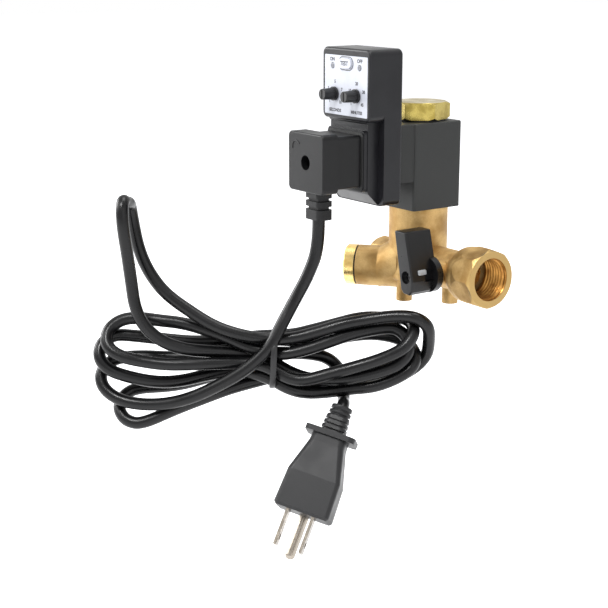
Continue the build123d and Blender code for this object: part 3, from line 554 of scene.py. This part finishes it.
@dataclass
class Workshop:
    """Makes pieces: it links them, gives them a finish and seats them on a body."""

    palette: Palette
    made: list[str] = field(default_factory=list)

    def seat(self, thing: bpy.types.Object, finish: str, body: Body = Body.VALVE) -> bpy.types.Object:
        """Give a piece its finish and let it ride on a body.

        Args:
            thing: the piece.
            finish: the name of its finish.
            body: the body that it moves with.

        Returns:
            The piece.
        """
        bpy.context.scene.collection.objects.link(thing)
        thing.data.materials.clear()
        thing.data.materials.append(self.palette[finish])
        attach(thing, body.value)
        SLOT_OF[finish]
        self.made.append(thing.name)
        LOG.info("%s: %s, on %s", thing.name, finish, body.value)
        return thing

    def surface(self, name: str, rows: np.ndarray, finish: str, body: Body = Body.VALVE,
                caps: bool = True, flip: bool = False) -> bpy.types.Object:
        """Make a closed surface from rings of points, each joined to the next.

        Args:
            name: the piece's name.
            rows: the points, an array of rings x points x 3.
            finish: the name of its finish.
            body: the body that it moves with.
            caps: close the first and last rings with a face; if not, the last ring joins the first.
            flip: turn every face over.

        Returns:
            The piece.
        """
        index = np.arange(rows.shape[0] * rows.shape[1]).reshape(rows.shape[:2])
        grid = index if caps else np.vstack([index, index[:1]])
        ahead = np.roll(grid, -1, axis=1)
        quads = np.stack([grid[:-1], ahead[:-1], ahead[1:], grid[1:]], axis=2).reshape(-1, 4)
        faces = quads.tolist() + ([index[0][::-1].tolist(), index[-1].tolist()] if caps else [])
        data = bpy.data.meshes.new(name)
        data.from_pydata(rows.reshape(-1, 3).tolist(), [], [f[::-1] for f in faces] if flip else faces)
        data.validate()
        data.polygons.foreach_set("use_smooth", [True] * len(data.polygons))
        data.update()
        return self.seat(bpy.data.objects.new(name, data), finish, body)


def ring_grid(x: np.ndarray, y: np.ndarray, z: np.ndarray) -> np.ndarray:
    """Stack the three coordinates of a grid, each spread over all rings and points."""
    return np.stack(np.broadcast_arrays(x, y, z), axis=-1)


# ---------------------------------------------------------------------------------------
# sub-assemblies


@dataclass
class PortThread:
    """Internal pipe thread of a port: a sleeve whose bore rises and falls along a helix."""

    name: str
    face: Place
    inward: float
    root_r: float
    crest_r: float
    pitch: float
    depth: float
    wall: float = 0.01 * MM
    clear: float = 0.06 * MM
    start: float = 0.1 * MM
    steps_round: int = 96
    steps_pitch: int = 10

    def rows(self) -> np.ndarray:
        """Work out the sleeve, from the mouth inwards and back along the outside.

        The bore's radius at angle a and depth d is a triangle wave of d / pitch - a / turn with
        flat tops. It opens into a chamfer over the first pitch and fades out over the last.

        Returns:
            The rings of points.
        """
        angle = turns(self.steps_round)
        deep = np.linspace(self.start, self.depth, int(self.depth / self.pitch * self.steps_pitch))[:, None]
        phase = deep / self.pitch - angle / FULL_TURN
        wave = np.clip((1.0 - np.abs((phase % 1.0) * 2.0 - 1.0)) * 1.35 - 0.1, 0.0, 1.0)
        fade = np.clip(deep / (1.3 * self.pitch), 0.0, 1.0)
        fade = fade * np.clip((self.depth - deep) / (0.8 * self.pitch), 0.0, 1.0)
        bore = self.root_r - self.clear - (self.root_r - self.crest_r) * wave * fade
        back = np.full((2, self.steps_round), self.root_r + self.wall)
        radius = np.concatenate([bore, back])
        run = np.concatenate([deep, deep[-1:], deep[:1]])
        x, y, z = self.face
        return ring_grid(x - self.inward * run, y + radius * np.cos(angle), z + radius * np.sin(angle))

    def build(self, shop: Workshop) -> None:
        """Make the sleeve."""
        shop.surface(self.name, self.rows(), "thread", caps=False, flip=self.inward < 0)


INLET_THREAD = PortThread(
    "inlet_thread", face=(0.0, 0.0, 0.0), inward=1.0,
    root_r=10.4 * MM, crest_r=9.42 * MM, pitch=1.814 * MM, depth=15.2 * MM)
OUTLET_THREAD = PortThread(
    "outlet_thread", face=(-82.6 * MM, 0.0, -2.6 * MM), inward=-1.0,
    root_r=6.6 * MM, crest_r=5.85 * MM, pitch=1.411 * MM, depth=8.8 * MM)


class Weight(Enum):
    """Stroke weights of the print."""

    LIGHT = 0.0
    BOLD = 0.09 * MM


@dataclass
class DialPrint:
    """Words and marks printed on the dial plate, round the knobs and on the test button.

    Places and sizes are millimetres: x to the right of the column's axis, and z up.
    """

    face_y: float
    button_y: float
    ink: float = 0.02
    em: float = 1.38
    caption: float = 1.7
    figure: float = 1.5
    scale_z: float = 85.7
    scale_reach: float = 5.7
    button_z: float = 100.3

    SCALE_TURNS = (222.0, 158.0, 90.0, 22.0, -42.0)
    SCALES = {-8.4: ("1", "3", "5", "7", "10"), 8.4: ("1", "10", "20", "30", "45")}

    def word(self, shop: Workshop, text: str, x: float, z: float, size: float, lift: float = 0.0,
             weight: Weight = Weight.BOLD, body: Body = Body.VALVE) -> None:
        """Print one word, centred at x and z.

        Args:
            shop: makes the piece.
            text: the word.
            x: place to the right of the column's axis.
            z: height.
            size: height of a capital letter.
            lift: distance in front of the plate.
            weight: how heavy the strokes are.
            body: the body that it is printed on.
        """
        tag = "".join(c if c.isalnum() else "_" for c in text)
        name = f"print_{tag}_{abs(int(x * 10))}_{int(z * 10)}"
        curve = bpy.data.curves.new(name, "FONT")
        curve.body = text
        curve.align_x = curve.align_y = "CENTER"
        curve.size = size * self.em * MM
        curve.offset = weight.value
        curve.extrude = self.ink * MM
        curve.resolution_u = 3
        flat = bpy.data.objects.new(name + "_text", curve)
        bpy.context.scene.collection.objects.link(flat)
        bpy.context.view_layer.update()
        shape = bpy.data.meshes.new_from_object(flat)
        bpy.data.objects.remove(flat)
        shape.name = name
        place = Vector((COLUMN_X + x * MM, self.face_y - (lift + self.ink) * MM, z * MM))
        shape.transform(Matrix.Translation(place) @ Matrix.Rotation(math.radians(90.0), 4, "X"))
        shop.seat(bpy.data.objects.new(name, shape), finish="ink_black", body=body)

    def outline(self, shop: Workshop, wide: float, high: float, stroke: float, rise: float = 0.03) -> None:
        """Print the round-ended outline about the test button.

        Each end is half a circle: at angle a the edge is at the end's centre plus r cos a and
        r sin a, where r is half the height, less the stroke for the inner edge.

        Args:
            shop: makes the piece.
            wide: overall width.
            high: overall height.
            stroke: width of the line.
            rise: thickness of the ink.
        """
        angle = turns(48)
        r = high / 2 + np.array([0.0, -stroke, -stroke, 0.0])[:, None]
        depth = np.array([rise, rise, 0.0, 0.0])[:, None]
        end = np.sign(np.round(np.cos(angle), 6)) * (wide - high) / 2
        rows = ring_grid(COLUMN_X + (end + r * np.cos(angle)) * MM, self.face_y - depth * MM,
                         (self.button_z + r * np.sin(angle)) * MM)
        shop.surface("test_outline", rows, "ink_black", caps=False, flip=True)

    def build(self, shop: Workshop) -> None:
        """Print the plate, the knobs' scales and the word on the test button."""
        self.word(shop, "ON", -10.6, 101.8, self.caption)
        self.word(shop, "OFF", 10.6, 101.8, self.caption)
        self.outline(shop, wide=11.4, high=6.6, stroke=0.4)
        lift = (self.face_y - self.button_y) / MM
        self.word(shop, "TEST", 0.0, self.button_z, 2.0, lift, body=Body.BUTTON)
        for x, figures in self.SCALES.items():
            for turn, figure in zip(map(math.radians, self.SCALE_TURNS), figures):
                self.word(shop, figure, x + self.scale_reach * math.cos(turn),
                          self.scale_z + self.scale_reach * math.sin(turn), self.figure)
        self.word(shop, "SECONDS", -8.2, 77.9, self.figure)
        self.word(shop, "MINUTES", 8.4, 77.9, self.figure)


@dataclass
class LeverPaintedHighlight:
    """A pale grey pad on the lever's side above its hub: a painted highlight for the light sheen on a facet
    there. Sizes are millimetres.
    """

    middle: Place = (-22.9, -23.2, 2.4)
    half_long: float = 2.5
    half_high: float = 1.2
    squareness: float = 0.35
    slope: float = math.radians(14.5)

    def build(self, shop: Workshop) -> None:
        """Make a rounded pad that stands 0.3 mm out of the lever's side, which leans by the slope.

        Its edge at angle a is half the length times cos a and half the height times sin a, each
        raised to the squareness; the last ring is a little smaller, as an edge break.
        """
        angle = turns(32)
        c, s = np.cos(angle), np.sin(angle)
        out = np.array([-1.0, 0.15, 0.3])[:, None]
        share = np.array([1.0, 1.0, 0.9])[:, None]
        long = self.half_long * share * np.copysign(np.abs(c) ** self.squareness, c)
        high = self.half_high * share * np.copysign(np.abs(s) ** self.squareness, s)
        x, y, z = self.middle
        rows = ring_grid(x + out - high * math.sin(self.slope), y + long, z + high) * MM
        shop.surface("lever_painted_highlight", rows, "painted_highlight_grey", Body.LEVER)


@dataclass
class ConnectorMark:
    """The raised arc on the connector's face. Sizes are millimetres from the column's axis."""

    middle: tuple[float, float] = (-7.4, 62.2)
    face_y: float = -69.65
    radius: float = 3.0
    half_wide: float = 0.32
    rise: float = 0.28
    start: float = math.radians(30.0)
    end: float = math.radians(200.0)

    def build(self, shop: Workshop) -> None:
        """Make the arc, a tube of eight sides along part of a circle.

        At turn t along the circle and angle a round the tube, the point is radius plus
        half_wide cos a from the circle's middle, and rise sin a out of the face.
        """
        turn = np.linspace(self.start, self.end, 24)[:, None]
        side = turns(8)
        r = self.radius + self.half_wide * np.cos(side)
        y = self.face_y - self.rise * np.sin(side)
        x, z = self.middle
        rows = ring_grid(x + r * np.cos(turn), y, z + r * np.sin(turn)) * MM
        shop.surface("connector_mark", rows + np.array([COLUMN_X, 0.0, 0.0]), "connector_pvc")


@dataclass(frozen=True)
class HankFrame:
    """Millimetre coordinates of the hank: along its spread, height, and out to the front."""

    origin: Place = (COLUMN_X, -61.85 * MM, 0.0)
    turn: float = math.radians(54.4)

    def place(self, points: np.ndarray) -> np.ndarray:
        """Turn the hank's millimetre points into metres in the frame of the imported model.

        A point is the origin, plus along times the spread's direction, plus the height, plus out
        times the front's direction.
        """
        c, s = math.cos(self.turn), math.sin(self.turn)
        axes = np.array([(c, s, 0.0), (0.0, 0.0, 1.0), (s, -c, 0.0)])
        return np.array(self.origin) + MM * (points @ axes)


@dataclass
class MainsCord:
    """The mains cord: a lead from the connector, ten tied passes and the run to the plug."""

    frame: HankFrame
    diameter: float = 6.2 * MM
    length: float = 1.74

    LEAD = ((0, 28, 0), (0, 14, 0), (-5, 0.5, 0.8))
    HANK = (
        (-12, -12.5, 1.5), (-18.4, -23.6, 6.5), (-22.9, -32.4, 9.6), (-30, -39.9, 9.6), (-38, -46, 9.6),
        (-49, -52.5, 9), (-61, -58.5, 8), (-73, -62, 7.1), (-86, -63.2, 5), (-98, -61.5, 2.5),
        (-106.2, -56, -1), (-107.2, -49.1, -5), (-101.2, -43.5, -8.5), (-88, -42.5, -9.6), (-72, -43.5, -9.6),
        (-56, -42.5, -9.6), (-42, -40, -9.6), (-30, -36.5, -9.6), (-21, -33.6, -9.4), (-4.7, -35.3, -8),
        (6.1, -33.7, -7.7), (18, -31.1, -7.2), (29, -30.4, -6.9), (40.4, -33.2, -7.8), (46.3, -36.7, -4.5),
        (47.7, -40.9, 0.3), (45.1, -45.7, 3.5), (37.2, -50.5, 4), (27.1, -54.7, 3.1), (16, -56.2, 1),
        (4.8, -57.9, 1.2), (-6.2, -57.5, 4.3), (-14.3, -55.2, 4.9), (-22.3, -51.1, 2.7), (-30.3, -48.4, 1.4),
        (-40.1, -47.4, -1.9), (-55, -50, -1.5), (-68, -53, -0.5), (-80, -53.2, 0), (-93, -50.5, 0),
        (-102.2, -46.6, 1.7), (-107.2, -41.2, -0.5), (-106.6, -35, -4.7), (-100.5, -31.3, -8.5),
        (-91, -32, -9), (-76, -34, -9.6), (-60, -35.5, -9.6), (-45, -34, -8.5), (-32, -31.4, -5),
        (-22.1, -30.6, -4), (-12, -30.2, -4), (-3, -28, -4.4), (7, -25.5, -5.2), (21, -21.9, -6.3),
        (33.4, -22.8, -8.6), (42.6, -22, -5.4), (46.4, -24.7, 1), (45.2, -28.7, 6.4), (40.2, -34.3, 9),
        (29.5, -39.6, 7.6), (17.9, -43.3, 7.2), (5.7, -46.4, 8), (-6, -49.7, 8.5), (-13.7, -49.4, 7.7),
        (-21.7, -45.2, 5.4), (-29.8, -42.5, 3.4), (-37, -42.5, 3), (-48, -42.3, 4.5), (-61, -42.3, 6),
        (-74, -42.5, 6), (-86, -41, 5), (-96.2, -38.6, 5.1), (-102.8, -34.3, 2.3), (-103, -27.7, -2.8),
        (-96.3, -23, -7), (-87, -22.5, -7.5), (-78, -23.5, -6), (-66, -24.5, -5), (-54, -27.5, -2.5),
        (-43, -31.3, -0.4), (-33.1, -35.5, 1.3), (-22, -38.1, 3), (-14, -37.5, 4), (-4.9, -35.3, 3.6),
        (6.4, -31.7, 1.7), (19, -28.1, -1), (35.3, -25.9, -2.8), (40.4, -28.1, -1.8), (42.9, -30.8, -0.3),
        (43.9, -33.6, 1.5), (43.5, -36.8, 3.3), (41.4, -40.3, 4.9), (35.7, -44.6, 5.8), (18.9, -49.7, 3.9),
        (7.3, -51.1, 3.7), (-4.7, -51.3, 0.9), (-13.9, -48.5, -1), (-22, -43.9, -3), (-30.1, -40.4, -3.5),
        (-43.1, -38.4, -2.1), (-55, -37.3, 0.5), (-66, -35.5, 3), (-76, -31, 5), (-84, -23.5, 5.5),
        (-88, -14, 5.5), (-89.4, -2, 5), (-90.7, 11, 5.5), (-92.2, 25.6, 8), (-92.5, 33.6, 6.8),
        (-92.3, 37.6, 3.2), (-91.3, 35.6, -0.6), (-90.4, 35.1, -3.8), (-90.4, 33, -8), (-89.4, 24.1, -9.2),
        (-87, 11.5, -8.3), (-82.3, 0.8, -6), (-74.3, -9.3, -3), (-62, -17.5, 0), (-50, -24.4, 3.1),
        (-36.8, -28.4, 4.4), (-24, -31.1, 2.2), (-12, -30.3, 2.5), (-0.3, -27.2, 1.8), (11.6, -23.5, 1.1),
        (23.7, -21.4, 0.7), (36.4, -19.1, 2.1), (46.9, -18.9, 5.3), (53.2, -23.9, 3.7), (53.9, -32.9, -1.4),
        (53.4, -40.7, -5), (48, -46.9, -4.2), (39, -51.6, -3), (29, -54.4, -4.6), (18, -54, -4.9),
        (5.7, -54.5, -4.5), (-5.1, -56.4, -3.7), (-14.2, -55.8, -1.6), (-21.9, -51.6, -4.1),
        (-31.1, -53.8, -3), (-43, -55.7, 1.8), (-55, -60, 3), (-71, -66.5, 2.9), (-86.6, -73.1, 5.2),
        (-93.6, -72, 3.8), (-97.2, -69.1, 0.8), (-98.3, -65.7, -2.7), (-96.5, -62.1, -6.4),
        (-90.7, -59.1, -9.6), (-72, -58, -9), (-58, -54.5, -9), (-45, -50, -9.3), (-33, -44.5, -9.6),
        (-22, -40.7, -9.6), (-13.3, -41.1, -9.6), (-4.1, -41.4, -9.6), (4, -43.2, -10), (9.6, -48, -10.5),
        (12.4, -54.7, -11.5), (12.7, -61, -8.8), (12.6, -64.2, -2.6), (12.4, -62.6, 3.9), (12.1, -61.2, 9.7),
        (11, -63.1, 13.6), (9.6, -66.4, 15.4),
    )

    def route(self) -> list[Vector]:
        """The control points of the cord's line."""
        return [Vector(point) for point in self.frame.place(np.array((*self.LEAD, *self.HANK), float))]

    def build(self, shop: Workshop) -> bpy.types.Object:
        """Make the cord as one open spline, in place of its packed stand-ins."""
        points = self.route()
        curve = bpy.data.curves.new("mains_cord", "CURVE")
        curve.dimensions = "3D"
        line = curve.splines.new("NURBS")
        line.points.add(len(points) - 1)
        for slot, point in zip(line.points, points):
            slot.co = (*point, 1.0)
        line.order_u = 3
        line.use_endpoint_u = True
        line.resolution_u = 8
        curve.bevel_depth = self.diameter / 2
        curve.bevel_resolution = 5
        curve.use_fill_caps = True
        cord = shop.seat(bpy.data.objects.new("mains_cord", curve), "cord_pvc")
        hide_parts("cord_lead", "cord_hank", "cord_tail")
        return cord

    def declare(self) -> None:
        """Work out the cord's route and take its first point, which nothing uses.
        """
        self.route()[0]


@dataclass
class TwistTie:
    """The flat band round the middle of the hank. Sizes are millimetres in the hank's frame."""

    frame: HankFrame
    along: float = -21.6
    centre: float = -41.0
    half_high: float = 13.6
    half_deep: float = 13.2
    power: float = 2.8
    slant: float = 0.9
    half_wide: float = 1.5
    half_thick: float = 0.45

    def rows(self) -> np.ndarray:
        """Work out rings of a flat elliptic section along a rounded loop about the bundle.

        The loop is a superellipse in height and depth, and slants a little along the hank. Each
        ring is half_wide along the hank and half_thick along the loop's normal.

        Returns:
            The rings of points.
        """
        turn, side = turns(96)[:, None], turns(12)
        c, s = np.cos(turn), np.sin(turn)
        out = self.half_deep * np.copysign(np.abs(c) ** (2 / self.power), c)
        high = self.centre + self.half_high * np.copysign(np.abs(s) ** (2 / self.power), s)
        lean_out, lean_high = c / self.half_deep, s / self.half_high
        thick = self.half_thick * np.sin(side) / np.hypot(lean_out, lean_high)
        along = self.along + self.slant * s + self.half_wide * np.cos(side)
        return self.frame.place(ring_grid(along, high + thick * lean_high, out + thick * lean_out))

    def build(self, shop: Workshop) -> bpy.types.Object:
        """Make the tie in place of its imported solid."""
        band = shop.surface("hank_tie_band", self.rows(), "tie_plastic", caps=False)
        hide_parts("hank_tie")
        return band


@dataclass
class PlugSleeve:
    """The neck that carries the mains plug's strain relief on over the cord, in millimetres."""

    frame: HankFrame
    foot: Place = (9.6, -66.4, 15.4)
    way: Place = (-0.351, -0.827, 0.438)
    across: Place = (0.94, -0.33, 0.13)

    # Distance above the foot, half width and half depth of each ring: a taper with two grooves.
    PROFILE = (
        (-0.8, 4.4, 3.4), (-0.8, 5.6, 4.5), (0.6, 5.6, 4.5), (0.7, 4.6, 3.8), (1.4, 4.6, 3.8),
        (1.5, 5.5, 4.4), (3.0, 5.4, 4.4), (3.1, 4.5, 3.8), (3.8, 4.5, 3.8), (3.9, 5.3, 4.3),
        (5.6, 5.1, 4.2), (5.9, 4.6, 3.9), (5.9, 3.3, 3.2))

    def rows(self) -> np.ndarray:
        """Work out the neck: an ellipse about the plug's axis for each row of the profile.

        Returns:
            The rings of points.
        """
        down = unit(np.array(self.way))
        across = np.array(self.across)
        across = unit(across - down * (across @ down))
        side = np.cross(down, across)
        above, wide, deep = np.array(self.PROFILE).T[:, :, None, None]
        turn = turns(40)[:, None]
        ring = across * wide * np.cos(turn) + side * deep * np.sin(turn)
        return self.frame.place(np.array(self.foot) - down * above + ring)

    def build(self, shop: Workshop) -> bpy.types.Object:
        """Make the neck."""
        return shop.surface("plug_sleeve", self.rows(), "plug_pvc", flip=True)


# ---------------------------------------------------------------------------------------
# studio


@dataclass(frozen=True)
class Panel:
    """A square soft light."""

    name: str
    place: Place
    size: float
    power: float

    def build(self, target: Place) -> None:
        """Hang the light at its place, facing a target."""
        data = bpy.data.lights.new(self.name, "AREA")
        data.size = self.size
        data.energy = self.power
        lamp = bpy.data.objects.new(self.name, data)
        lamp.location = self.place
        lamp.rotation_euler = (Vector(target) - Vector(self.place)).to_track_quat("-Z", "Y").to_euler()
        bpy.context.scene.collection.objects.link(lamp)


@dataclass
class Studio:
    """Camera, soft lights, a pale floor and a white surround."""

    floor_z: float
    lens: float = 82.9
    place: Place = (0.4749, -0.4491, 0.1504)
    azimuth: float = math.radians(54.4)
    elevation: float = math.radians(14.06)
    middle: Place = (-0.05, -0.04, 0.0)
    soft_colour: Colour = (0.9, 0.93, 1.0, 1.0)
    soft_strength: float = 0.42
    floor_half: float = 6.0
    floor_glow: float = 0.62
    floor_light: Colour = (0.96, 0.96, 0.96, 1.0)
    floor_dark: Colour = (0.93, 0.93, 0.93, 1.0)

    PANELS = (
        Panel("key", (-0.5, -1.25, 0.9), size=0.7, power=7.0),
        Panel("strip", (0.3, -0.8, 1.15), size=0.28, power=13.0),
        Panel("left", (-1.25, -0.75, 0.45), size=0.7, power=14.0),
        Panel("fill", (1.4, -0.2, 0.55), size=1.0, power=2.5),
        Panel("top", (0.0, 0.25, 1.5), size=0.8, power=12.0),
    )

    def camera(self) -> None:
        """Set the camera that the object is seen from."""
        data = bpy.data.cameras.new("camera")
        data.lens = self.lens
        data.sensor_width = 36.0
        data.clip_start = 0.01
        data.clip_end = 50.0
        data.dof.use_dof = False
        camera = bpy.data.objects.new("camera", data)
        camera.location = self.place
        camera.rotation_euler = (math.radians(90.0) - self.elevation, 0.0, self.azimuth)
        bpy.context.scene.collection.objects.link(camera)
        bpy.context.scene.camera = camera

    def surround(self) -> None:
        """A world that is white where it is seen and a soft grey light to everything else."""
        world = bpy.data.worlds.new("surround")
        bpy.context.scene.world = world
        g = Graph(world)
        soft = g.node("ShaderNodeBackground", {"Color": self.soft_colour, "Strength": self.soft_strength})
        white = g.node("ShaderNodeBackground", {"Color": WHITE, "Strength": 1.0})
        mix = g.node("ShaderNodeMixShader", {0: g.seen(), 1: soft, 2: white})
        g.add("ShaderNodeOutputWorld", {"Surface": mix})

    def floor(self) -> None:
        """A pale floor under everything, which takes the shadow and glows only where it is seen."""
        g = Graph(bpy.data.materials.new("floor_paper"))
        mottle = g.noise(8.0)
        paper = g.finish(
            Base_Color=g.blend(mottle * 0.3, self.floor_light, self.floor_dark),
            Roughness=mottle.ramp(0.3, 0.7, 0.8, 0.9),
            Emission_Color=g.blend(g.seen(), BLACK, WHITE), Emission_Strength=self.floor_glow)
        data = bpy.data.meshes.new("floor")
        corners = [(x * self.floor_half, y * self.floor_half, self.floor_z)
                   for x, y in ((-1, -1), (1, -1), (1, 1), (-1, 1))]
        data.from_pydata(corners, [], [(0, 1, 2, 3)])
        thing = bpy.data.objects.new("floor", data)
        thing.data.materials.append(paper)
        bpy.context.scene.collection.objects.link(thing)
        thing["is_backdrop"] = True

    def build(self) -> None:
        """Set everything up, with plain colour management."""
        self.camera()
        for panel in self.PANELS:
            panel.build(self.middle)
        self.surround()
        self.floor()
        bpy.context.scene.view_settings.view_transform = "Standard"


# ---------------------------------------------------------------------------------------
# the whole part


class DrainValve:
    """The whole part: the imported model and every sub-assembly built on it."""

    def __init__(self) -> None:
        """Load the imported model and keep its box."""
        self.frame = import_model()
        self.low, self.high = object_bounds()
        self.palette = Palette()
        self.shop = Workshop(self.palette)
        self.hank = HankFrame()

    def cord_set(self) -> None:
        """Make the cord, and the tie and the plug's neck that move with it."""
        cord = MainsCord(self.hank)
        line = cord.build(self.shop)
        tie = TwistTie(self.hank).build(self.shop)
        sleeve = PlugSleeve(self.hank).build(self.shop)
        cord.declare()

    def build(self) -> None:
        """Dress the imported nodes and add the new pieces."""
        LOG.info("dressed %d packed nodes", self.palette.dress(self.frame["nodes"], self.frame["record"]))
        self.cord_set()
        dial_face, button_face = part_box("dial_plate")[0].y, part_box("test_button")[0].y
        for part in (INLET_THREAD, OUTLET_THREAD, DialPrint(dial_face, button_face), LeverPaintedHighlight(),
                     ConnectorMark()):
            part.build(self.shop)
        LOG.info("added %d pieces", len(self.shop.made))


def main() -> None:
    """Build the valve and its studio."""
    logging.basicConfig(level=logging.INFO, format="%(name)s: %(message)s")
    valve = DrainValve()
    valve.build()
    Studio(floor_z=valve.low.z - 12 * MM).build()


if __name__ == "__main__":
    main()
